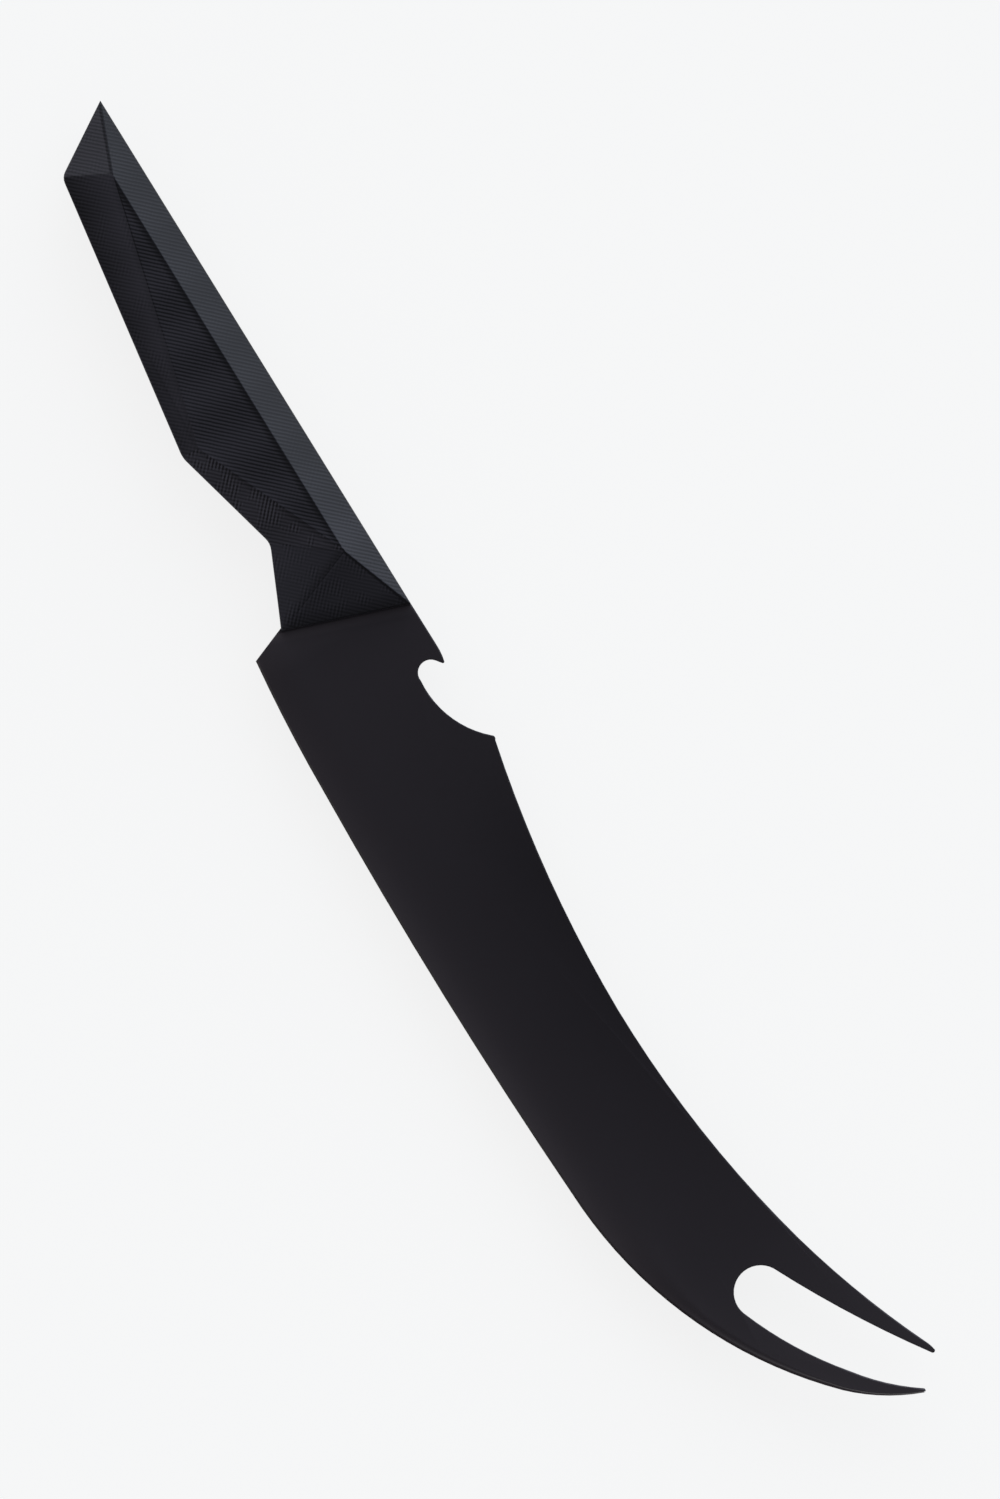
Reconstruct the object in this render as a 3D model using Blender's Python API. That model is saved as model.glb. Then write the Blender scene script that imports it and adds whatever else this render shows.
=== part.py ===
"""Barbecue knife: a forked slicing blade with a bottle opener in its spine, and a faceted handle.

Metres, +Z up. The knife lies on its side with the blade level: +X runs from the pommel to the fork,
+Y from the cutting edge to the spine. Outlines are drawn from a design origin where the front of the
handle meets the spine, with the middle of the blade's thickness at height 0. The empty "knife"
carries every piece, and shifts them so that the world origin is the middle of the object's underside.

The blade and its full-length tang are one plate of steel. A scale is bonded to each side of the tang,
and three blind pins through the tang key both scales to it.
"""

from math import acos, atan2, ceil, cos, hypot, pi, radians, sin, tan

import bmesh
import bpy
from mathutils import Vector
from numpy import interp

# Overall sizes
BLADE_LENGTH = 0.2030  # handle front to the longer tine's tip
HANDLE_LENGTH = 0.1275
BLADE_THICKNESS = 0.0023
HANDLE_THICKNESS = 0.0190
BOND_GAP = 0.0003  # room for the adhesive between the tang and each scale
ARC_TOLERANCE = 0.00002  # how far an arc's chords may run inside the true arc
SMOOTH_BELOW = radians(25)  # edges sharper than this are shaded as creases

# Handle corners seen from the side
HANDLE_FRONT = (0.0, 0.0)
POMMEL_TIP = (-HANDLE_LENGTH, 0.0)
POMMEL_HEEL = (-0.1177, -0.0157)
BELLY = (-0.0526, -0.0254)
NECK = (-0.0270, -0.0190)
GUARD = (-0.0096, -0.0269)
HEEL_ROOT = (-0.0103, -0.0265)  # where the blade leaves the handle's underside
POMMEL_HEEL_RADIUS = 0.0030
BELLY_RADIUS = 0.0060
NECK_RADIUS = 0.0040
CORNER_STEPS = 4

# Ridge points on the handle's facets, and how far each corner stands from the blade's mid-plane
REAR_PEAK = (-0.1123, -0.0061)
FRONT_PEAK = (-0.0173, -0.0062)
BELLY_PEAK = (-0.0523, -0.0214)
PEAK_HEIGHT = HANDLE_THICKNESS / 2
SPINE_HEIGHT = 0.0030
BELLY_PEAK_HEIGHT = 0.0063
BELLY_HEIGHT = 0.0041
GUARD_HEIGHT = 0.0028
FACET_ROUNDING = 0.0004
RIDGE_ROUNDING = 0.0002  # of the sharper ridges round the upper bevel and the middle facet
ROUNDING_STEPS = 3
FACETS = [
    # corner where a facet's outline starts, corner where it ends, peaks that close it
    ("tip", "heel", ["rear_peak"]),
    ("heel", "belly", ["belly_peak", "rear_peak"]),
    ("belly", "neck", ["front_peak", "belly_peak"]),
    ("neck", "guard", ["front_peak"]),
    ("guard", "front", ["front_peak"]),
    ("front", "tip", ["rear_peak", "front_peak"]),
]

# Cutting edge, from the heel to the longer tine's tip
HEEL = (-0.0070, -0.0350)
LOWER_TIP = (BLADE_LENGTH, 0.0049)
CUTTING_EDGE = [
    # next point, radius of the arc that leads to it
    ((0.0250, -0.03735), 0.350),
    ((0.1265, -0.0373), 1.200),
    ((0.1933, -0.0099), 0.0997),
    (LOWER_TIP, 0.0428),
]

# The rest of the blade, from the longer tine's tip back to the handle: a positive radius turns left
BLADE_BACK = [
    ((0.2022, 0.0053), 0.0005),  # lower tine's tip
    ((0.1906, -0.0064), -0.0500),  # lower tine, inside
    ((0.1680, -0.0193), -0.0840),
    ((0.1631, -0.0088), -0.00582),  # round end of the fork's slot
    ((0.1965, 0.01075), 0.2500),  # upper tine, inside
    ((0.1963, 0.01165), 0.0005),  # upper tine's tip
    ((0.1944, 0.01115), 0.0090),
    ((0.1605, -0.0007), -0.2050),  # swept spine
    ((0.0980, -0.0080), -0.2530),
    ((0.0346, 0.00005), -0.2960),
    ((0.0333, -0.0001), 0.0008),  # front lip of the bottle opener
    ((0.0153, -0.0069), -0.0214),  # ramp that bears on the cap
    ((0.0132, -0.00195), -0.00278),  # pocket under the claw
    ((0.0145, -0.00095), None),  # claw, underside
    ((0.0144, -0.0004), 0.00032),  # claw's tip
    ((0.0105, 0.00005), 0.0140),  # claw, top
]
BACK_CHAMFER = 0.00025

# Grind: a convex strip along the cutting edge that runs out into the blade's flat sides
GRIND_STATIONS = (HEEL[0], 0.0600, 0.1100, 0.1500, 0.1650, BLADE_LENGTH)  # X along the blade
GRIND_WIDTHS = (0.0070, 0.0200, 0.0200, 0.0060, 0.0025, 0.0003)  # of the strip at each station
GRIND_SHARES = (1.0, 0.8, 0.6, 0.4, 0.25, 0.12)  # of that width, from the flat side to the edge bevel
GRIND_POWER = 2.5  # of the curve that the strip's side follows from the flat side
EDGE_BEVEL_WIDTH = 0.0005
EDGE_BEVEL_HEIGHT = 0.00024  # half the thickness behind the edge bevel
EDGE_HEIGHT = 0.00004  # half the thickness of the edge itself

# Blind pins across the tang
PIN_RADIUS = 0.0020
PIN_LENGTH = 0.0100
PIN_SIDES = 24
PIN_CENTRES = {
    "front_pin": (-0.0225, -0.0120),
    "middle_pin": (-0.0620, -0.0125),
    "rear_pin": (-0.1040, -0.0095),
}

# Colours
COATING = (0.016, 0.015, 0.018)
LAMINATE = (0.020, 0.021, 0.025)
BARE_STEEL = (0.45, 0.45, 0.47)


def arc_points(start, end, radius):
    """Points after start up to end, on the arc of that radius; a positive radius turns left."""
    if radius is None:
        return [end]
    chord = hypot(end[0] - start[0], end[1] - start[1])
    side = 1 if radius > 0 else -1
    size = max(abs(radius), chord / 2)
    rise = side * (size**2 - chord**2 / 4) ** 0.5
    centre_x = (start[0] + end[0]) / 2 - rise * (end[1] - start[1]) / chord
    centre_y = (start[1] + end[1]) / 2 + rise * (end[0] - start[0]) / chord
    first = atan2(start[1] - centre_y, start[0] - centre_x)
    last = atan2(end[1] - centre_y, end[0] - centre_x)
    sweep = side * ((last - first) * side % (2 * pi))
    steps = ceil(abs(sweep) / (2 * acos(1 - ARC_TOLERANCE / size)))
    angles = [first + sweep * step / steps for step in range(1, steps + 1)]
    return [(centre_x + size * cos(angle), centre_y + size * sin(angle)) for angle in angles]


def path_points(start, legs):
    """The points of a path that leaves start along a list of (end, radius) legs."""
    points = [start]
    for end, radius in legs:
        points += arc_points(points[-1], end, radius)
    return points


def rounded_corner(before, corner, after, radius):
    """An odd number of points on the arc that rounds a corner between two straight lines."""
    middle = Vector(corner)
    arrive = (Vector(before) - middle).normalized()
    leave = (Vector(after) - middle).normalized()
    half_angle = arrive.angle(leave) / 2
    centre = middle + (arrive + leave).normalized() * radius / sin(half_angle)
    spoke = middle + arrive * radius / tan(half_angle) - centre
    turn = (pi - 2 * half_angle) * (1 if arrive.cross(leave) < 0 else -1)
    points = []
    for step in range(CORNER_STEPS + 1):
        angle = turn * step / CORNER_STEPS
        across = Vector((-spoke.y, spoke.x))
        points.append(tuple(centre + spoke * cos(angle) + across * sin(angle)))
    return points


def handle_corners():
    """The handle's corners in order, each as the odd number of points that round it."""
    return {
        "front": [HANDLE_FRONT],
        "tip": [POMMEL_TIP],
        "heel": rounded_corner(POMMEL_TIP, POMMEL_HEEL, BELLY, POMMEL_HEEL_RADIUS),
        "belly": rounded_corner(POMMEL_HEEL, BELLY, NECK, BELLY_RADIUS),
        "neck": rounded_corner(BELLY, NECK, GUARD, NECK_RADIUS),
        "guard": [GUARD],
    }


def tang_outline():
    """From the handle's front round the handle to the root of the heel."""
    corners = handle_corners()
    corners["guard"] = [HEEL_ROOT]
    return [point for corner in corners.values() for point in corner]


def grind_profile(width):
    """(distance from the edge, height) pairs, from the blade's flat side down to the edge."""
    flat = BLADE_THICKNESS / 2
    bevel = min(EDGE_BEVEL_WIDTH, width / 2)
    pairs = []
    for share in GRIND_SHARES:
        height = flat - (flat - EDGE_BEVEL_HEIGHT) * (1 - share) ** GRIND_POWER
        pairs.append((bevel + (width - bevel) * share, height))
    return pairs + [(bevel, EDGE_BEVEL_HEIGHT), (0.0, EDGE_HEIGHT)]


def inward_directions(edge):
    """At the heel along the heel's own wall, and elsewhere square to the cutting edge."""
    directions = [(Vector(HEEL_ROOT) - Vector(HEEL)).normalized()]
    for index in range(1, len(edge)):
        after = edge[min(index + 1, len(edge) - 1)]
        along = (Vector(after) - Vector(edge[index - 1])).normalized()
        directions.append(Vector((-along.y, along.x)))
    return directions


def grind_columns():
    """One column of (x, y, height) points for each point of the cutting edge."""
    edge = path_points(HEEL, CUTTING_EDGE)
    columns = []
    for (x, y), inward in zip(edge, inward_directions(edge)):
        column = []
        width = interp(x, GRIND_STATIONS, GRIND_WIDTHS)
        for distance, height in grind_profile(width):
            column.append((x + inward.x * distance, y + inward.y * distance, height))
        columns.append(column)
    return columns


def mesh_object(name, bm, material, parent):
    """Turn a bmesh into a named object under the parent, with its faces turned outwards."""
    bmesh.ops.recalc_face_normals(bm, faces=bm.faces)
    mesh = bpy.data.meshes.new(name)
    bm.to_mesh(mesh)
    bm.free()
    mesh.shade_smooth()
    mesh.set_sharp_from_angle(angle=SMOOTH_BELOW)
    if material:
        mesh.materials.append(material)
    piece = bpy.data.objects.new(name, mesh)
    piece.parent = parent
    bpy.context.scene.collection.objects.link(piece)
    return piece


def edges_of_chain(verts):
    """The edges between each vertex of a list and the next."""
    pairs = zip(verts, verts[1:])
    return [edge for first, second in pairs for edge in first.link_edges if second in edge.verts]


def add_wall(bm, upper, lower):
    """Quads all the way round between two closed rings of vertices."""
    for index in range(len(upper)):
        bm.faces.new((upper[index - 1], upper[index], lower[index], lower[index - 1]))


def blade_side(bm, back, side):
    """One side of the blade: its flat face and its grind. Returns its rim and the rim's back part."""
    flat = side * BLADE_THICKNESS / 2
    tang = [bm.verts.new((x, y, flat)) for x, y in tang_outline()]
    columns = []
    for column in grind_columns():
        columns.append([bm.verts.new((x, y, side * height)) for x, y, height in column])
    spine = [bm.verts.new((x, y, flat)) for x, y in back]
    flat_face = bm.faces.new(tang + [column[0] for column in columns] + spine)
    # a line from the claw's root to the heel makes the flat side in front of the handle its own face
    bmesh.utils.face_split(flat_face, spine[-1], columns[0][0])
    for left, right in zip(columns, columns[1:]):
        for upper in range(len(left) - 1):
            bm.faces.new((left[upper], left[upper + 1], right[upper + 1], right[upper]))
    edge = [column[-1] for column in columns]
    rim = tang + columns[0][:-1] + edge + columns[-1][-2::-1] + spine
    return rim, spine + tang[:1]


def make_blade(material, parent):
    """The blade and its tang: two mirrored sides joined by the wall round their rims."""
    bm = bmesh.new()
    back = path_points(LOWER_TIP, BLADE_BACK)[1:]
    upper_rim, upper_back = blade_side(bm, back, 1)
    lower_rim, lower_back = blade_side(bm, back, -1)
    add_wall(bm, upper_rim, lower_rim)
    bmesh.ops.recalc_face_normals(bm, faces=bm.faces)
    corners = edges_of_chain(upper_back) + edges_of_chain(lower_back)
    bmesh.ops.bevel(bm, geom=corners, offset=BACK_CHAMFER, segments=1, affect="EDGES")
    return mesh_object("blade", bm, material, parent)


def plane_height(a, b, c, point):
    """The height over a point of the plane through three points."""
    normal = (Vector(b) - Vector(a)).cross(Vector(c) - Vector(a))
    return a[2] - (normal.x * (point[0] - a[0]) + normal.y * (point[1] - a[1])) / normal.z


def facet_corners(corners):
    """The upper scale's corners and peaks, at the heights that keep every facet flat."""
    middle = {name: points[len(points) // 2] for name, points in corners.items()}
    at = {
        "rear_peak": (*REAR_PEAK, PEAK_HEIGHT),
        "front_peak": (*FRONT_PEAK, PEAK_HEIGHT),
        "belly_peak": (*BELLY_PEAK, BELLY_PEAK_HEIGHT),
        "front": (*middle["front"], SPINE_HEIGHT),
        "tip": (*middle["tip"], SPINE_HEIGHT),
        "belly": (*middle["belly"], BELLY_HEIGHT),
        "guard": (*middle["guard"], GUARD_HEIGHT),
    }
    lower_bevel = at["rear_peak"], at["belly_peak"], at["belly"]
    rear_neck = at["front_peak"], at["belly_peak"], at["belly"]
    at["heel"] = (*middle["heel"], plane_height(*lower_bevel, middle["heel"]))
    at["neck"] = (*middle["neck"], plane_height(*rear_neck, middle["neck"]))
    return at


def facet_rim(corners, at, start, end, peak):
    """The stretch of outline under a facet, from the middle of one corner to the middle of the next."""
    first, last = corners[start], corners[end]
    stretch = first[len(first) // 2 :] + last[: len(last) // 2 + 1]
    return [(x, y, plane_height(at[start], at[end], at[peak], (x, y))) for x, y in stretch]


def weigh_edges(bm, ridge_ends):
    """Mark each edge of the open facets with its share of the widest rounding."""
    weight = bm.edges.layers.float.new("bevel_weight_edge")
    for edge in bm.edges:
        ridge = not edge.is_boundary and all(vert in ridge_ends for vert in edge.verts)
        edge[weight] = RIDGE_ROUNDING / FACET_ROUNDING if ridge else 1.0


def make_scale(name, side, material, parent):
    """One handle scale: a flat inner face, straight walls and seven flat facets with softened edges."""
    bm = bmesh.new()
    corners = handle_corners()
    at = facet_corners(corners)
    peaks = {key: bm.verts.new(at[key]) for key in ("rear_peak", "belly_peak", "front_peak")}
    stretches = {}
    for start, end, inner in FACETS:
        rim = facet_rim(corners, at, start, end, inner[0])
        stretches[start] = [bm.verts.new(point) for point in rim[:-1]]
    for start, end, inner in FACETS:
        bm.faces.new(stretches[start] + stretches[end][:1] + [peaks[key] for key in inner])
    bm.faces.new(peaks.values())
    weigh_edges(bm, [*peaks.values(), stretches["tip"][0], stretches["front"][0]])
    outline = [vert for stretch in stretches.values() for vert in stretch]
    inside = BLADE_THICKNESS / 2 + BOND_GAP
    bonded = [bm.verts.new((vert.co.x, vert.co.y, inside)) for vert in outline]
    bm.faces.new(bonded)
    add_wall(bm, outline, bonded)
    for vert in bm.verts:
        vert.co.z *= side
    scale = mesh_object(name, bm, material, parent)
    rounding = scale.modifiers.new("rounding", "BEVEL")
    rounding.limit_method = "WEIGHT"
    rounding.width = FACET_ROUNDING
    rounding.segments = ROUNDING_STEPS
    return scale


def make_cylinder(name, radius, length, centre, material, parent):
    """An upright cylinder whose middle is at the centre point, on the blade's mid-plane."""
    bm = bmesh.new()
    bmesh.ops.create_cone(
        bm, cap_ends=True, segments=PIN_SIDES, radius1=radius, radius2=radius, depth=length
    )
    piece = mesh_object(name, bm, material, parent)
    piece.location = (*centre, 0.0)
    return piece


def make_pins(material, parent, drilled):
    """The blind pins, each with a clearance hole through the tang and into both scales."""
    for name, centre in PIN_CENTRES.items():
        make_cylinder(name, PIN_RADIUS, PIN_LENGTH, centre, material, parent)
        hole_radius = PIN_RADIUS + BOND_GAP
        hole_length = PIN_LENGTH + 2 * BOND_GAP
        hole = make_cylinder(name + "_hole", hole_radius, hole_length, centre, None, parent)
        hole.hide_render = True
        hole.display_type = "WIRE"
        for piece in drilled:
            cut = piece.modifiers.new(name + "_hole", "BOOLEAN")
            cut.operation = "DIFFERENCE"
            cut.solver = "EXACT"
            cut.object = hole


def make_material(name, colour, roughness, metallic):
    material = bpy.data.materials.new(name)
    material.use_nodes = True
    shader = material.node_tree.nodes["Principled BSDF"]
    shader.inputs["Base Color"].default_value = (*colour, 1.0)
    shader.inputs["Roughness"].default_value = roughness
    shader.inputs["Metallic"].default_value = metallic
    return material


def centre_on_underside(carrier, pieces):
    """Move the carrier so that the middle of the pieces' underside is on the world origin."""
    bpy.context.view_layer.update()  # so that the pieces' boxes include their rounding
    corners = [Vector(corner) for piece in pieces for corner in piece.bound_box]
    low = Vector([min(corner[axis] for corner in corners) for axis in range(3)])
    high = Vector([max(corner[axis] for corner in corners) for axis in range(3)])
    carrier.location = (-(low.x + high.x) / 2, -(low.y + high.y) / 2, -low.z)


def main():
    for old in list(bpy.data.objects):
        bpy.data.objects.remove(old)
    coating = make_material("black_coating", COATING, 0.42, 0.6)
    laminate = make_material("black_laminate", LAMINATE, 0.5, 0.0)
    steel = make_material("pin_steel", BARE_STEEL, 0.3, 1.0)
    knife = bpy.data.objects.new("knife", None)
    bpy.context.scene.collection.objects.link(knife)
    blade = make_blade(coating, knife)
    right = make_scale("right_scale", 1, laminate, knife)
    left = make_scale("left_scale", -1, laminate, knife)
    make_pins(steel, knife, (blade, right, left))
    centre_on_underside(knife, (blade, right, left))


main()
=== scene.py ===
"""Looks of the barbecue knife: its finishes, bond lines, floor, light and camera.

Lengths are in metres where nothing else is said.
"""

from collections import namedtuple
from math import cos, pi, radians, sin

import bmesh
import bpy
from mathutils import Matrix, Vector


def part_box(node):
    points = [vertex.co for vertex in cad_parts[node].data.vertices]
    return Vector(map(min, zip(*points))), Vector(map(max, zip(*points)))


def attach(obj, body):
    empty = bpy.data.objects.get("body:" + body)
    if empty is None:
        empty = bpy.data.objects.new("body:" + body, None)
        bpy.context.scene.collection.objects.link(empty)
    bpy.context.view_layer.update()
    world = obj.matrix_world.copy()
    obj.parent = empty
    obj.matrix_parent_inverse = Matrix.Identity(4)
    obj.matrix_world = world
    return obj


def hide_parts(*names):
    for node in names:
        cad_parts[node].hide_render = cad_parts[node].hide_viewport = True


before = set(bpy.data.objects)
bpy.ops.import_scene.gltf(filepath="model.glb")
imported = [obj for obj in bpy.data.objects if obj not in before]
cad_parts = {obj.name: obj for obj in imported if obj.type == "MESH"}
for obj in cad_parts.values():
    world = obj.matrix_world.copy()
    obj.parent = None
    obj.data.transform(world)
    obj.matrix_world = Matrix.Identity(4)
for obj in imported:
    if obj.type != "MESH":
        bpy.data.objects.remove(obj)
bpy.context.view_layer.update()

# Photograph: its scale in the plane of the blade, and its place over the knife
PHOTO_HEIGHT = 1499  # pixels
METRES_PER_PIXEL = 0.00021573
KNIFE_ANGLE = radians(58.31)  # from the picture's right-hand side down to the knife's +X
CENTRE_FROM_HANDLE = (0.03687, -0.00018)  # middle of the picture, from the handle's front at the spine
CAMERA_DISTANCE = 8.0
SENSOR_WIDTH = 36.0  # millimetres, along the picture's longer side

# Levels and places in the frame
_, scale_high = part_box("right_scale")
blade_low, blade_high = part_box("blade")
BLADE_LEVEL = (blade_low.z + blade_high.z) / 2
HANDLE_FRONT = scale_high.x
SPINE = scale_high.y

# Mesh work
WELD_DISTANCE = 0.000002
FLAT_ANGLE = radians(0.02)  # faces that meet at less are one flat face
CREASE_ANGLE = radians(28)  # faces that meet at more have a sharp edge
FACET_AREA = 0.00005  # a handle facet is larger than this
WALL_SLOPE = 0.3  # a face whose outward direction has less Z is a side wall
INNER_SLOPE = 0.999  # a face whose outward direction has more Z is the bonded inner face
EDGE_BEVEL_HEIGHT = 0.00025  # a blade face this close to the mid-plane is the cutting edge's bevel
RIDGE_LENGTH = 0.005  # a handle ridge is longer than this
EDGE_REACH = 0.001  # how far past a facet its softened edges may reach
BOND_INSET = 0.00015  # how far the film of adhesive stays inside the scale's outline
BOND_CLEARANCE = 0.00001  # between that film and each face that it bonds

# Blade finish
COATING_DARK = (0.0105, 0.0087, 0.0104)
COATING_LIGHT = (0.0136, 0.0113, 0.0133)
# painted shade: a darker coating along the middle of the blade
COATING_PAINTED_SHADE = (0.0048, 0.0039, 0.0047)
# worn coating, also used as painted light along the cutting edge, by the heel and in front of the handle
COATING_WORN_AND_PAINTED_LIGHT = (0.0315, 0.0266, 0.0298)
COATING_GLINT = (0.96, 0.87, 1.0)  # tint of its reflections
COATING_SPECULAR = 0.25
COATING_ROUGHNESS = (0.385, 0.425)
COATING_GRAIN = 0.00020
COATING_CLOUDS = 0.030
COATING_RELIEF = 0.000002
GRAIN_ROUGHNESS = 0.06  # added by the grain
POLISH_ROUGHNESS = 0.04  # taken away with the painted shade along the spine
SHADE_AND_GLOSS_ACROSS = (-0.037, -0.007)  # from the spine to where it starts and is full
WEAR_AND_LIGHT_REACH = 0.0035  # distance from the cutting edge at which the wear and painted light have faded to about a third
WEAR_AND_LIGHT_GRAIN = (0.8, 1.2)  # how much of the wear and painted light shows where the grain is low and high
HANDLE_SLANT = radians(19.6)  # of the handle's front edge, from square to the spine
HANDLE_LINE = (0.0002, 0.0005)  # distances in front of the handle between which the painted light fades in, so that its dark line stays
HANDLE_REACH = 0.0026  # distance at which the painted light in front of that line has faded out
# painted light in front of the handle, against the shadow that the handle casts on the blade
PAINTED_LIGHT_BY_HANDLE = 0.65
BELLY_CENTRE = (0.1246, 0.0624)  # of the edge's curve, from the handle's front and the spine
BELLY_RADIUS = 0.0997
EDGE_DARK = (0.06, 0.056, 0.056)
EDGE_LIGHT = (0.13, 0.12, 0.12)
EDGE_ROUGHNESS = (0.28, 0.45)
EDGE_SCRATCHES = 0.00010

# Changes along the knife: where each starts and ends, from the handle's front, and its values there
# where the painted shade and the lower roughness start and end along the blade
SHADE_AND_GLOSS_FROM_HANDLE = (0.010, 0.065, 0.0, 1.0)
SHADE_AND_GLOSS_TO_FORK = (0.095, 0.160, 1.0, 0.0)
# wear and painted light along the cutting edge, faded towards the belly and the tines
WEAR_AND_LIGHT_TO_BELLY = (0.080, 0.130, 0.70, 1.20)
WEAR_AND_LIGHT_TO_TINES = (0.140, 0.170, 1.0, 0.20)
# lighter by the heel: wear, and painted light against the handle's shadow
WEAR_AND_LIGHT_BY_HEEL = (-0.009, -0.001, 0.4, 0.0)
WEAR_ON_TINES = (0.155, 0.190, 0.0, 0.35)
EDGE_STILL_COATED = (0.110, 0.160, 0.0, 1.0)
# painted light on the laminate, lighter towards the handle's front
MATT_PAINTED_FRONT_LIGHT = (-0.030, -0.012, 0.0, 0.13)
POLISHED_PAINTED_FRONT_LIGHT = (-0.038, -0.020, 0.0, 0.18)

# Handle finish
LAMINATE_DARK = (0.0004, 0.0004, 0.0005)  # at a tone of 0
LAMINATE_LIGHT = (0.0415, 0.0393, 0.0490)  # at a tone of 1
LAMINATE_GLINT = (0.88, 0.87, 1.0)
LAMINATE_ROUGHNESS = (0.58, 0.46)  # at a tone of 0 and of 1
POLISHED_SPECULAR = 0.38
MATT_SPECULAR = 0.2
YARN_PITCH = 0.00077
YARN_ANGLE = radians(46)
YARN_WOBBLE = 0.8
YARN_CONTRAST = 1.0
YARN_DEPTH = 0.000067
BAND_PITCH = 0.0132
BAND_ANGLE = radians(82)
BAND_WOBBLE = 0.6
BAND_CONTRAST = 0.22
PATCH_SIZE = 0.004
PATCH_RANGE = (0.45, 0.65)  # of the noise, from where the crossing yarns don't show to where they do
PLY_PITCH = 0.00028
PLY_CONTRAST = 0.17
PLY_WOBBLE = 0.6
WALL_TONE = 0.19

# Handle facets: each one's outward direction on the right scale, how strongly its yarns and the crossing
# ones show, its first and last tone with painted light and shade, and the angle that this changes along,
# from +X towards +Y
Look = namedtuple("Look", "outward yarns crossing first_tone last_tone fade_angle")
UPPER_BEVEL = Look((0.00, 0.73, 0.69), 0.38, 0.09, 0.01, 0.14, radians(-90))
MIDDLE = Look((0.00, -0.21, 0.98), 0.63, 0.07, 0.30, 0.42, radians(-93))
LOWER_BEVEL = Look((-0.08, -0.49, 0.87), 0.29, 0.20, 0.65, 0.10, radians(-102))
POMMEL = Look((-0.49, -0.27, 0.83), 0.31, 0.13, 0.25, 0.25, radians(-90))
NECK_REAR = Look((0.14, -0.50, 0.86), 0.50, 1.33, 0.55, 0.44, 0.0)
NECK_FRONT = Look((-0.12, -0.35, 0.93), 0.17, 0.40, 0.20, 0.47, radians(-152))
FRONT = Look((0.39, -0.15, 0.91), 0.19, 0.36, 0.09, 0.23, radians(149))
FACET_LOOKS = [UPPER_BEVEL, MIDDLE, LOWER_BEVEL, POMMEL, NECK_REAR, NECK_FRONT, FRONT]
POLISHED_FACETS = [UPPER_BEVEL, POMMEL]
RIDGE_SHADES = {
    # for each ridge, the upper one first: how wide the strip along it is, and how much darker it gets
    MIDDLE: [(0.0014, 0.50), (0.0014, -0.12)],
    LOWER_BEVEL: [(0.0013, 0.15)],
    POMMEL: [(0.0005, 0.22)],
    NECK_REAR: [(0.0013, 0.25)],
    NECK_FRONT: [(0.0016, 0.0), (0.0016, 0.12)],
    FRONT: [(0.0006, 0.60), (0.0035, 0.18), (0.0006, -0.14)],
}

# Other finishes
STREAK = 0.05  # a scratch's width over its length
STEEL_DARK = (0.28, 0.26, 0.26)
STEEL_LIGHT = (0.48, 0.46, 0.46)
STEEL_ROUGHNESS = (0.25, 0.40)
STEEL_SCRATCHES = 0.00015
BOND_DARK = (0.002, 0.002, 0.002)
BOND_LIGHT = (0.006, 0.006, 0.006)
BOND_ROUGHNESS = (0.35, 0.60)
BOND_LUMPS = 0.0008

# Patterns
WAVE_LENGTH = 2 * pi / 20  # of the wave texture at a scale of 1
PATTERN_DETAIL = 2.0  # finer layers in a noise, or in the wobble of stripes
WOBBLE_SCALE = 0.6  # how fine the wobble of stripes is, against their pitch

# Floor and light
FLOOR_SIZE = 4.0  # half its width
FLOOR_GLOW = 0.955
FLOOR_GLOW_SHARE = 0.88  # of what is seen of the floor; the rest is its lit surface, with the shadow
FLOOR_COLOUR = 0.88
BACKDROP = 0.92
LIGHTS = [
    # azimuth from +X towards +Y, elevation, sharpness, strength, colour
    (radians(126), radians(9), 4.0, 3.85, (0.77, 0.91, 1.0)),
    (radians(166), radians(9), 4.0, 2.1, (1.0, 0.96, 0.96)),
    (radians(305), radians(8), 4.0, 0.85, (0.97, 0.96, 1.0)),
    (radians(15), radians(25), 4.0, 0.28, (0.97, 0.96, 1.0)),
]


def add_node(tree, kind, inputs=None, **settings):
    """A new shader node. inputs gives a socket either a constant or another node's output."""
    made = tree.nodes.new("ShaderNode" + kind)
    for name, value in settings.items():
        setattr(made, name, value)
    for name, value in (inputs or {}).items():
        if isinstance(value, bpy.types.NodeSocket):
            tree.links.new(value, made.inputs[name])
        else:
            made.inputs[name].default_value = value
    return made


def new_material(name):
    """A material with its node tree, its shader and the position that its patterns follow."""
    material = bpy.data.materials.new(name)
    material.use_nodes = True
    tree = material.node_tree
    place = add_node(tree, "TexCoord").outputs["Object"]
    return material, tree, tree.nodes["Principled BSDF"], place


def noise(tree, place, size):
    """Soft random values from 0 to 1, with patches about as large as size."""
    inputs = {"Vector": place, "Scale": 1 / size, "Detail": PATTERN_DETAIL}
    return add_node(tree, "TexNoise", inputs).outputs["Fac"]


def stripes(tree, place, pitch, angle, wobble):
    """Waves from 0 to 1 in lines that run at an angle from +X towards +Y."""
    turned = add_node(tree, "Mapping", {"Vector": place, "Rotation": (0, 0, pi / 2 - angle)})
    inputs = {
        "Vector": turned.outputs[0],
        "Scale": WAVE_LENGTH / pitch,
        "Distortion": wobble,
        "Detail": PATTERN_DETAIL,
        "Detail Scale": WOBBLE_SCALE,
    }
    return add_node(tree, "TexWave", inputs, bands_direction="X").outputs["Fac"]


def ramp(tree, value, dark, light):
    """A colour between two, by a value from 0 to 1."""
    made = add_node(tree, "ValToRGB", {"Fac": value})
    made.color_ramp.elements[0].color = (*dark, 1)
    made.color_ramp.elements[1].color = (*light, 1)
    return made.outputs["Color"]


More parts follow.
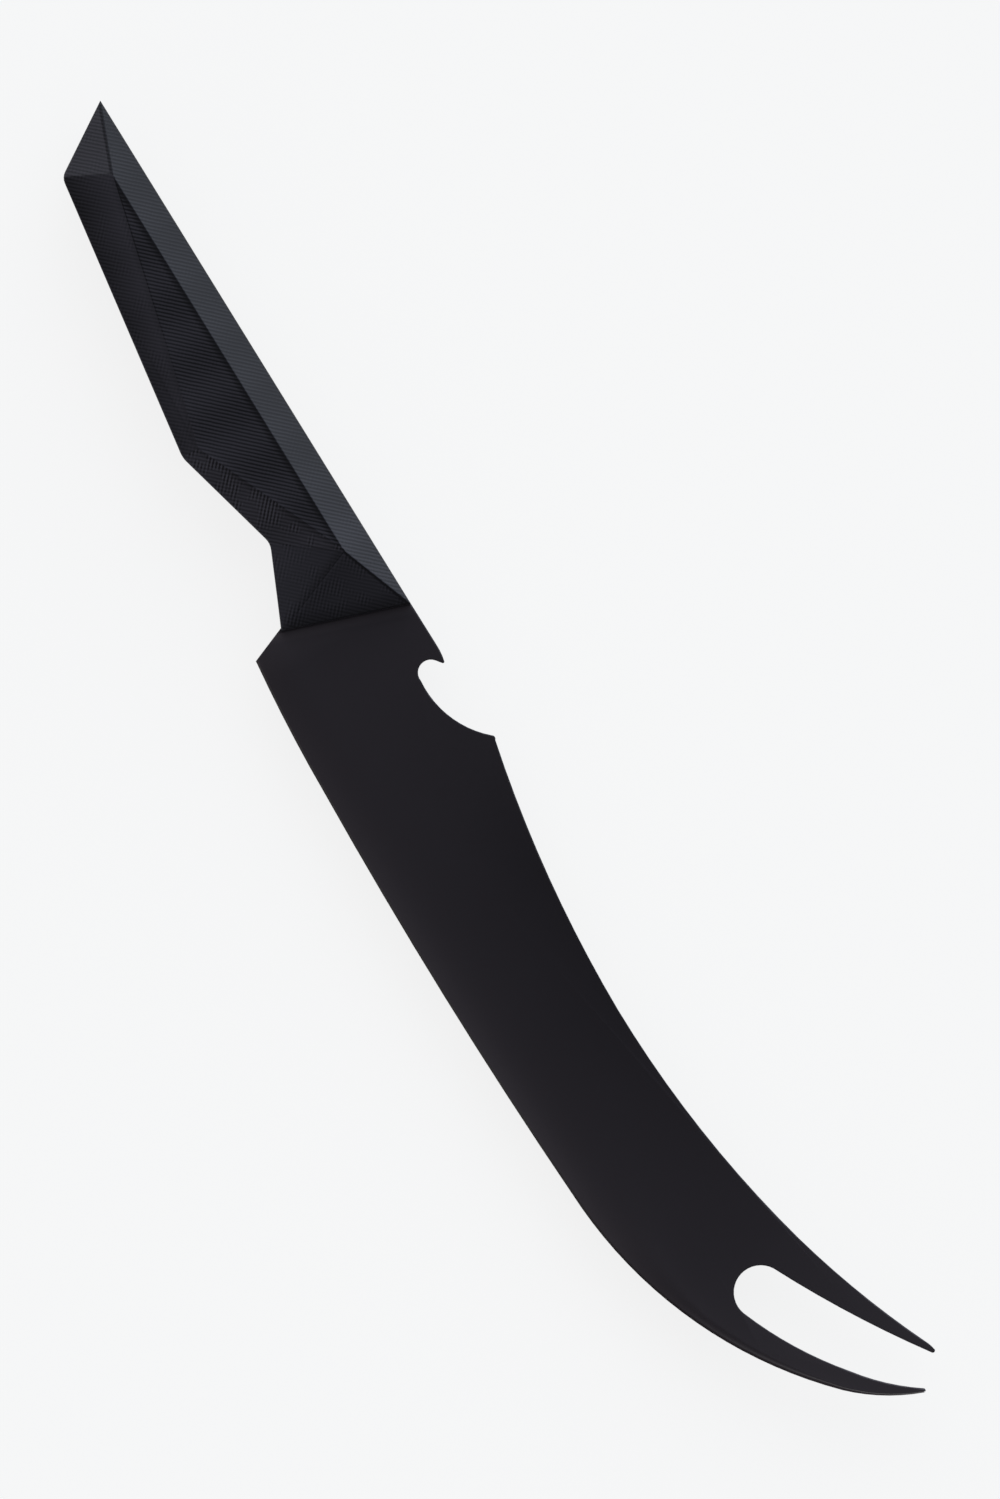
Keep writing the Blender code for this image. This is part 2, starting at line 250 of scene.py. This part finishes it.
def blend_colours(tree, value, first, second):
    """A colour between another node's output and a plain colour, by a value from 0 to 1."""
    inputs = {"Fac": value, "Color1": first, "Color2": (*second, 1)}
    return add_node(tree, "MixRGB", inputs).outputs[0]


def fade(tree, value, start, end, first=0.0, last=1.0):
    """A value that goes from first to last while another goes from start to end."""
    inputs = {"Value": value, "From Min": start, "From Max": end, "To Min": first, "To Max": last}
    return add_node(tree, "MapRange", inputs).outputs[0]


def spread(tree, value, first, last):
    """A value from 0 to 1 brought into another range."""
    return fade(tree, value, 0.0, 1.0, first, last)


def fade_along(tree, along, change):
    """A value that changes along the knife, by one of the changes named above."""
    start, end, first, last = change
    return fade(tree, along, HANDLE_FRONT + start, HANDLE_FRONT + end, first, last)


def combine(tree, operation, first, second=0.0):
    """The result of a sum on two values, or of a function of one."""
    return add_node(tree, "Math", {0: first, 1: second}, operation=operation).outputs[0]


def face_value(tree, name):
    """A value that the mesh holds for each face or corner."""
    return add_node(tree, "Attribute", attribute_name=name).outputs["Fac"]


def emboss(tree, shader, height, depth):
    """Relief on a shader, depth metres deep where the heights differ by 1."""
    bump = add_node(tree, "Bump", {"Height": height, "Distance": depth})
    tree.links.new(bump.outputs[0], shader.inputs["Normal"])


def shade_and_gloss_pattern(tree, along, across):
    """Where the coating has painted shade and less roughness: most along the middle of the spine, least
    by the handle and edge.
    """
    from_handle = fade_along(tree, along, SHADE_AND_GLOSS_FROM_HANDLE)
    to_fork = fade_along(tree, along, SHADE_AND_GLOSS_TO_FORK)
    start, full = SHADE_AND_GLOSS_ACROSS
    from_edge = fade(tree, across, SPINE + start, SPINE + full)
    return combine(tree, "MULTIPLY", combine(tree, "MULTIPLY", from_handle, to_fork), from_edge)


def edge_distance(tree, along, across):
    """Distance from the cutting edge, which is straight up to the belly's start and then an arc."""
    belly_x, belly_y = BELLY_CENTRE
    past_start = combine(tree, "MAXIMUM", combine(tree, "SUBTRACT", along, HANDLE_FRONT + belly_x))
    below_centre = combine(tree, "SUBTRACT", across, SPINE + belly_y)
    from_centre = add_node(tree, "CombineXYZ", {"X": past_start, "Y": below_centre}).outputs[0]
    length = add_node(tree, "VectorMath", {0: from_centre}, operation="LENGTH").outputs["Value"]
    return combine(tree, "SUBTRACT", BELLY_RADIUS, length)


def handle_distance(tree, place):
    """Distance in front of the handle's slanting front edge."""
    ahead = Vector((cos(HANDLE_SLANT), -sin(HANDLE_SLANT), 0))
    start = ahead.dot(Vector((HANDLE_FRONT, SPINE, 0)))
    reach = add_node(tree, "VectorMath", {0: place, 1: ahead}, operation="DOT_PRODUCT").outputs["Value"]
    return combine(tree, "SUBTRACT", reach, start)


def wear_and_light_pattern(tree, place, along, across):
    """How worn the coating is, and where it has painted light: both most along the cutting edge, painted
    light with some wear by the handle and heel, and wear on the tines.
    """
    distance = edge_distance(tree, along, across)
    # wear, with painted light, lighter towards the cutting edge
    by_edge = combine(tree, "EXPONENT", combine(tree, "DIVIDE", distance, -WEAR_AND_LIGHT_REACH))
    for change in (WEAR_AND_LIGHT_TO_BELLY, WEAR_AND_LIGHT_TO_TINES):
        by_edge = combine(tree, "MULTIPLY", by_edge, fade_along(tree, along, change))
    ahead = handle_distance(tree, place)
    # painted light in front of the handle and by the heel, against the handle's shadow on the blade
    by_handle = fade(tree, ahead, HANDLE_LINE[1], HANDLE_REACH, PAINTED_LIGHT_BY_HANDLE, 0.0)
    by_handle = combine(tree, "ADD", by_handle, fade_along(tree, along, WEAR_AND_LIGHT_BY_HEEL))
    by_handle = combine(tree, "MULTIPLY", by_handle, fade(tree, ahead, *HANDLE_LINE))
    on_tines = fade_along(tree, along, WEAR_ON_TINES)
    return combine(tree, "ADD", by_edge, combine(tree, "ADD", by_handle, on_tines))


def coating_material():
    """Satin black coating: a fine grain, faint clouds of gloss, painted shade with less roughness along
    the middle of the spine, and wear and painted light towards the edge.
    """
    material, tree, shader, place = new_material("satin_black_coating")
    along, across, _ = add_node(tree, "SeparateXYZ", {0: place}).outputs
    grain = noise(tree, place, COATING_GRAIN)
    clouds = noise(tree, place, COATING_CLOUDS)
    shade_and_gloss = shade_and_gloss_pattern(tree, along, across)
    wear_and_light = wear_and_light_pattern(tree, place, along, across)
    wear_and_light = combine(tree, "MULTIPLY", wear_and_light, spread(tree, grain, *WEAR_AND_LIGHT_GRAIN))
    fresh = ramp(tree, grain, COATING_DARK, COATING_LIGHT)
    # painted shade, darker along the middle of the blade
    polished = blend_colours(tree, shade_and_gloss, fresh, COATING_PAINTED_SHADE)
    # wear and painted light: a lighter coating by the edge, the heel and the handle
    tree.links.new(blend_colours(tree, wear_and_light, polished, COATING_WORN_AND_PAINTED_LIGHT), shader.inputs["Base Color"])
    rough = spread(tree, clouds, *COATING_ROUGHNESS)
    rough = combine(tree, "ADD", rough, spread(tree, grain, 0.0, GRAIN_ROUGHNESS))
    rough = combine(tree, "SUBTRACT", rough, spread(tree, shade_and_gloss, 0.0, POLISH_ROUGHNESS))
    tree.links.new(rough, shader.inputs["Roughness"])
    shader.inputs["Specular IOR Level"].default_value = COATING_SPECULAR
    shader.inputs["Specular Tint"].default_value = (*COATING_GLINT, 1)
    emboss(tree, shader, grain, COATING_RELIEF)
    return material


def edge_material():
    """Steel ground across the cutting edge, bare by the heel and still coated on the tine."""
    material, tree, shader, place = new_material("ground_edge")
    drawn_out = add_node(tree, "Mapping", {"Vector": place, "Scale": (1.0, STREAK, STREAK)}).outputs[0]
    scratches = noise(tree, drawn_out, EDGE_SCRATCHES)
    bare = ramp(tree, scratches, EDGE_DARK, EDGE_LIGHT)
    along = add_node(tree, "SeparateXYZ", {0: place}).outputs["X"]
    coated = fade_along(tree, along, EDGE_STILL_COATED)
    tree.links.new(blend_colours(tree, coated, bare, COATING_WORN_AND_PAINTED_LIGHT), shader.inputs["Base Color"])
    tree.links.new(spread(tree, scratches, *EDGE_ROUGHNESS), shader.inputs["Roughness"])
    shader.inputs["Metallic"].default_value = 1.0
    return material


def round_zero(tree, value, contrast):
    """A value from 0 to 1 brought into a range of that width round 0."""
    return spread(tree, value, -contrast / 2, contrast / 2)


def yarn_pattern(tree, place):
    """Diagonal yarns round 0 in lighter and darker broad bands, with patches of crossing yarns."""
    yarns = stripes(tree, place, YARN_PITCH, YARN_ANGLE, YARN_WOBBLE)
    crossing = stripes(tree, place, YARN_PITCH, YARN_ANGLE + pi / 2, YARN_WOBBLE)
    bands = stripes(tree, place, BAND_PITCH, BAND_ANGLE, BAND_WOBBLE)
    patches = noise(tree, place, PATCH_SIZE)
    lines = round_zero(tree, yarns, YARN_CONTRAST)
    lines = combine(tree, "ADD", lines, round_zero(tree, bands, BAND_CONTRAST))
    lines = combine(tree, "MULTIPLY", lines, face_value(tree, "yarns"))
    cross_lines = round_zero(tree, crossing, YARN_CONTRAST)
    cross_lines = combine(tree, "MULTIPLY", cross_lines, fade(tree, patches, *PATCH_RANGE))
    cross_lines = combine(tree, "MULTIPLY", cross_lines, face_value(tree, "crossing"))
    return combine(tree, "ADD", lines, cross_lines)


def ply_pattern(tree, place):
    """Thin level lines round 0 on the side walls, where the layers of cloth end."""
    upright = add_node(tree, "Mapping", {"Vector": place, "Rotation": (0, pi / 2, 0)}).outputs[0]
    plies = stripes(tree, upright, PLY_PITCH, pi / 2, PLY_WOBBLE)
    return combine(tree, "MULTIPLY", round_zero(tree, plies, PLY_CONTRAST), face_value(tree, "plies"))


def laminate_material(name, specular, painted_front_light):
    """Black glass-cloth laminate: yarns on the facets, plies round the sides, painted light and shade on
    the facets, and more painted light towards the handle's front.
    """
    material, tree, shader, place = new_material(name)
    relief = combine(tree, "ADD", yarn_pattern(tree, place), ply_pattern(tree, place))
    along = add_node(tree, "SeparateXYZ", {0: place}).outputs["X"]
    # painted light and shade of each facet, plus painted light towards the handle's front
    tone = combine(tree, "ADD", face_value(tree, "tone"), fade_along(tree, along, painted_front_light))
    cloth = combine(tree, "ADD", relief, tone)
    tree.links.new(ramp(tree, cloth, LAMINATE_DARK, LAMINATE_LIGHT), shader.inputs["Base Color"])
    tree.links.new(spread(tree, cloth, *LAMINATE_ROUGHNESS), shader.inputs["Roughness"])
    shader.inputs["Specular IOR Level"].default_value = specular
    shader.inputs["Specular Tint"].default_value = (*LAMINATE_GLINT, 1)
    emboss(tree, shader, relief, YARN_DEPTH / YARN_CONTRAST)
    return material


def bond_material():
    """Black adhesive at the joint between the tang and a scale."""
    material, tree, shader, place = new_material("black_adhesive")
    lumps = noise(tree, place, BOND_LUMPS)
    tree.links.new(ramp(tree, lumps, BOND_DARK, BOND_LIGHT), shader.inputs["Base Color"])
    tree.links.new(spread(tree, lumps, *BOND_ROUGHNESS), shader.inputs["Roughness"])
    return material


def pin_material():
    """Drawn steel with scratches along the pin."""
    material, tree, shader, place = new_material("drawn_steel")
    drawn_out = add_node(tree, "Mapping", {"Vector": place, "Scale": (1.0, 1.0, STREAK)}).outputs[0]
    scratches = noise(tree, drawn_out, STEEL_SCRATCHES)
    tree.links.new(ramp(tree, scratches, STEEL_DARK, STEEL_LIGHT), shader.inputs["Base Color"])
    tree.links.new(spread(tree, scratches, *STEEL_ROUGHNESS), shader.inputs["Roughness"])
    shader.inputs["Metallic"].default_value = 1.0
    return material


def add_piece(name, bm):
    """Turn a bmesh into a piece that rides with the knife."""
    mesh = bpy.data.meshes.new(name)
    bm.to_mesh(mesh)
    bm.free()
    piece = bpy.data.objects.new(name, mesh)
    bpy.context.scene.collection.objects.link(piece)
    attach(piece, "root")
    return piece


def whole_facets(node):
    """A CAD node's mesh, welded, with each of its flat facets one face again."""
    bm = bmesh.new()
    bm.from_mesh(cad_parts[node].data)
    bmesh.ops.remove_doubles(bm, verts=bm.verts, dist=WELD_DISTANCE)
    bmesh.ops.dissolve_limit(bm, angle_limit=FLAT_ANGLE, verts=bm.verts, edges=bm.edges)
    bm.normal_update()
    return bm


def dress_node(node, name, bm):
    """A smoothly shaded piece that stands for a CAD node, from that node's bmesh."""
    piece = add_piece(name, bm)
    piece.data.shade_smooth()
    piece.data.set_sharp_from_angle(angle=CREASE_ANGLE)
    normals = piece.modifiers.new("flat_facets", "WEIGHTED_NORMAL")
    normals.keep_sharp = True
    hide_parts(node)
    return piece


def make_blade():
    """The coated blade, with its edge bevel left bare."""
    blade = dress_node("blade", "coated_blade", whole_facets("blade"))
    blade.data.materials.append(coating_material())
    blade.data.materials.append(edge_material())
    for face in blade.data.polygons:
        heights = [abs(blade.data.vertices[index].co.z - BLADE_LEVEL) for index in face.vertices]
        face.material_index = 1 if max(heights) < EDGE_BEVEL_HEIGHT else 0


def clamp(value):
    """The closest value from 0 to 1."""
    return min(max(value, 0.0), 1.0)


def facet_look(face, looks=FACET_LOOKS):
    """The one of these looks whose direction is the closest to a face's."""
    outward = Vector((face.normal.x, face.normal.y, abs(face.normal.z)))
    return max(looks, key=lambda look: outward.dot(Vector(look.outward)))


def is_facet(face):
    """Whether a face is a sloping facet of the handle: no wall, softened ridge or inner face."""
    return face.calc_area() > FACET_AREA and WALL_SLOPE < abs(face.normal.z) < INNER_SLOPE


def ridge_lines(face):
    """A point on each of a facet's ridges and the direction in from it, the upper ridge first."""
    lines = []
    for edge in face.edges:
        if edge.calc_length() > RIDGE_LENGTH:
            start, end = [vert.co.copy() for vert in edge.verts]
            inward = face.normal.cross(end - start).normalized()
            towards = face.calc_center_median() - start
            lines.append((start, inward if inward.dot(towards) > 0 else -inward))
    return sorted(lines, key=lambda line: line[1].y)


def part_strips(bm, facet):
    """Part off a strip along each ridge that a facet gets darker or lighter towards.

    Returns each ridge's point, the direction in from it, the strip's width and how much darker it gets.
    """
    shades = RIDGE_SHADES.get(facet_look(facet), [])
    ridges = [(*line, *shade) for line, shade in zip(ridge_lines(facet), shades)]
    pieces = [facet]
    for point, inward, width, _ in ridges:
        edges = {edge for piece in pieces for edge in piece.edges}
        verts = {vert for piece in pieces for vert in piece.verts}
        geom = [*pieces, *edges, *verts]
        border = point + inward * width
        cut = bmesh.ops.bisect_plane(bm, geom=geom, dist=WELD_DISTANCE, plane_co=border, plane_no=inward)
        pieces = [part for part in cut["geom"] if isinstance(part, bmesh.types.BMFace)]
    return ridges


def ridge_shade(place, ridges):
    """How much darker a place on a facet is because of the ridges close to it."""
    total = 0.0
    for point, inward, width, shade in ridges:
        distance = (place - point).dot(inward)
        total += shade * clamp(1 - distance / width)
    return total


def reach_along(facet):
    """Where a facet and its softened edges start and end along the knife."""
    places = [vert.co.x for vert in facet.verts]
    return min(places) - EDGE_REACH, max(places) + EDGE_REACH


def fade_place(vert, look):
    """How far a corner lies along the angle that a facet's tone changes along."""
    return vert.co.x * cos(look.fade_angle) + vert.co.y * sin(look.fade_angle)


def fade_span(facet):
    """Where a facet's tone starts and ends its change."""
    places = [fade_place(vert, facet_look(facet)) for vert in facet.verts]
    return min(places), max(places)


def corner_tone(vert, look, span, ridges):
    """How light a corner of a facet is, with painted light and shade."""
    start, end = span
    share = clamp((fade_place(vert, look) - start) / (end - start))
    tone = look.first_tone + (look.last_tone - look.first_tone) * share
    return tone - ridge_shade(vert.co, ridges)


def mark_facets(bm):
    """Say how strongly the yarns and plies show on each face, and how light its corners are, with
    painted light and shade.
    """
    yarns = bm.faces.layers.float.new("yarns")
    crossing = bm.faces.layers.float.new("crossing")
    plies = bm.faces.layers.float.new("plies")
    tone = bm.loops.layers.float.new("tone")
    facets = [face for face in bm.faces if is_facet(face)]
    reaches = {facet_look(facet): reach_along(facet) for facet in facets}
    spans = {facet_look(facet): fade_span(facet) for facet in facets}
    ridges = {facet_look(facet): part_strips(bm, facet) for facet in facets}
    for face in bm.faces:
        middle = face.calc_center_median()
        near = [look for look, (rear, front) in reaches.items() if rear <= middle.x <= front]
        look = facet_look(face, near)
        wall = abs(face.normal.z) < WALL_SLOPE
        polished = wall or (look in POLISHED_FACETS and not ridge_shade(middle, ridges[look]))
        face[yarns] = 0.0 if wall else look.yarns
        face[crossing] = 0.0 if wall else look.crossing
        face[plies] = 1.0 if wall else 0.0
        face.material_index = 0 if polished else 1
        for loop in face.loops:
            # painted light and shade at each corner of a facet
            light = corner_tone(loop.vert, look, spans[look], ridges[look])
            loop[tone] = WALL_TONE if wall else light


def make_bond(scale, name, material):
    """The film of adhesive in the gap between the tang and a scale."""
    bm = whole_facets(scale)
    low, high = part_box(scale)
    above = low.z > BLADE_LEVEL
    inner = low.z if above else high.z
    outside = [face for face in bm.faces if abs(face.calc_center_median().z - inner) > WELD_DISTANCE]
    bmesh.ops.delete(bm, geom=outside, context="FACES")
    rim = bmesh.ops.inset_region(bm, faces=bm.faces, thickness=BOND_INSET)["faces"]
    bmesh.ops.delete(bm, geom=rim, context="FACES")
    tang = blade_high.z if above else blade_low.z
    clearance = BOND_CLEARANCE if above else -BOND_CLEARANCE
    film = bmesh.ops.extrude_face_region(bm, geom=bm.faces)["geom"]
    moved = [part for part in film if isinstance(part, bmesh.types.BMVert)]
    for vert in bm.verts:
        vert.co.z = inner - clearance
    for vert in moved:
        vert.co.z = tang + clearance
    bmesh.ops.recalc_face_normals(bm, faces=bm.faces)
    bond = add_piece(name, bm)
    bond.data.materials.append(material)


def make_handle():
    """Both scales, their adhesive and the hidden pins."""
    polished = laminate_material("black_laminate", POLISHED_SPECULAR, POLISHED_PAINTED_FRONT_LIGHT)
    matt = laminate_material("matt_laminate", MATT_SPECULAR, MATT_PAINTED_FRONT_LIGHT)
    adhesive = bond_material()
    steel = pin_material()
    for side in ("right", "left"):
        bm = whole_facets(side + "_scale")
        mark_facets(bm)
        grip = dress_node(side + "_scale", side + "_grip", bm)
        grip.data.materials.append(polished)
        grip.data.materials.append(matt)
        make_bond(side + "_scale", side + "_adhesive", adhesive)
    for pin in ("front_pin", "middle_pin", "rear_pin"):
        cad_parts[pin].data.materials.clear()
        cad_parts[pin].data.materials.append(steel)


def make_floor():
    """A pale floor with a faint shadow."""
    bm = bmesh.new()
    bmesh.ops.create_grid(bm, x_segments=1, y_segments=1, size=FLOOR_SIZE)
    mesh = bpy.data.meshes.new("floor")
    bm.to_mesh(mesh)
    bm.free()
    floor = bpy.data.objects.new("floor", mesh)
    bpy.context.scene.collection.objects.link(floor)
    material, tree, shader, _ = new_material("pale_floor")
    shader.inputs["Base Color"].default_value = (FLOOR_COLOUR, FLOOR_COLOUR, FLOOR_COLOUR, 1)
    shader.inputs["Roughness"].default_value = 1.0
    path = add_node(tree, "LightPath").outputs
    seen = combine(tree, "MAXIMUM", path["Is Camera Ray"], path["Is Glossy Ray"])
    seen = combine(tree, "MAXIMUM", seen, path["Is Transmission Ray"])
    share = combine(tree, "MULTIPLY", seen, FLOOR_GLOW_SHARE)
    glow = add_node(tree, "Emission", {"Strength": FLOOR_GLOW}).outputs[0]
    mix = add_node(tree, "MixShader", {"Fac": share, 1: shader.outputs[0], 2: glow})
    tree.links.new(mix.outputs[0], tree.nodes["Material Output"].inputs["Surface"])
    mesh.materials.append(material)


def soft_light(tree, direction, azimuth, elevation, sharpness, strength, colour):
    """A background that is brightest one way and fades smoothly round it."""
    flat = cos(elevation)
    towards = (flat * cos(azimuth), flat * sin(azimuth), sin(elevation))
    facing = add_node(tree, "VectorMath", {0: direction, 1: towards}, operation="DOT_PRODUCT")
    fall = combine(tree, "SUBTRACT", facing.outputs["Value"], 1.0)
    fall = combine(tree, "EXPONENT", combine(tree, "MULTIPLY", fall, sharpness))
    level = combine(tree, "MULTIPLY", fall, strength)
    return add_node(tree, "Background", {"Color": (*colour, 1), "Strength": level}).outputs[0]


def make_world():
    """Soft lights round the knife, in a world that the camera sees as plain pale."""
    world = bpy.data.worlds.new("studio")
    bpy.context.scene.world = world
    world.use_nodes = True
    tree = world.node_tree
    direction = add_node(tree, "TexCoord").outputs["Generated"]
    total = soft_light(tree, direction, *LIGHTS[0])
    for light in LIGHTS[1:]:
        more = soft_light(tree, direction, *light)
        total = add_node(tree, "AddShader", {0: total, 1: more}).outputs[0]
    pale = add_node(tree, "Background", {"Color": (BACKDROP, BACKDROP, BACKDROP, 1)}).outputs[0]
    camera_ray = add_node(tree, "LightPath").outputs["Is Camera Ray"]
    mix = add_node(tree, "MixShader", {"Fac": camera_ray, 1: total, 2: pale})
    tree.links.new(mix.outputs[0], tree.nodes["World Output"].inputs["Surface"])


def make_camera():
    """Straight down on the knife's right side, framed as in the photograph."""
    data = bpy.data.cameras.new("camera")
    data.sensor_width = SENSOR_WIDTH
    data.lens = SENSOR_WIDTH * CAMERA_DISTANCE / (PHOTO_HEIGHT * METRES_PER_PIXEL)
    camera = bpy.data.objects.new("camera", data)
    across, up = CENTRE_FROM_HANDLE
    camera.location = (HANDLE_FRONT + across, SPINE + up, BLADE_LEVEL + CAMERA_DISTANCE)
    camera.rotation_euler = (0, 0, KNIFE_ANGLE)
    bpy.context.scene.collection.objects.link(camera)
    bpy.context.scene.camera = camera


make_blade()
make_handle()
make_floor()
make_world()
make_camera()
bpy.context.scene.view_settings.view_transform = "Standard"
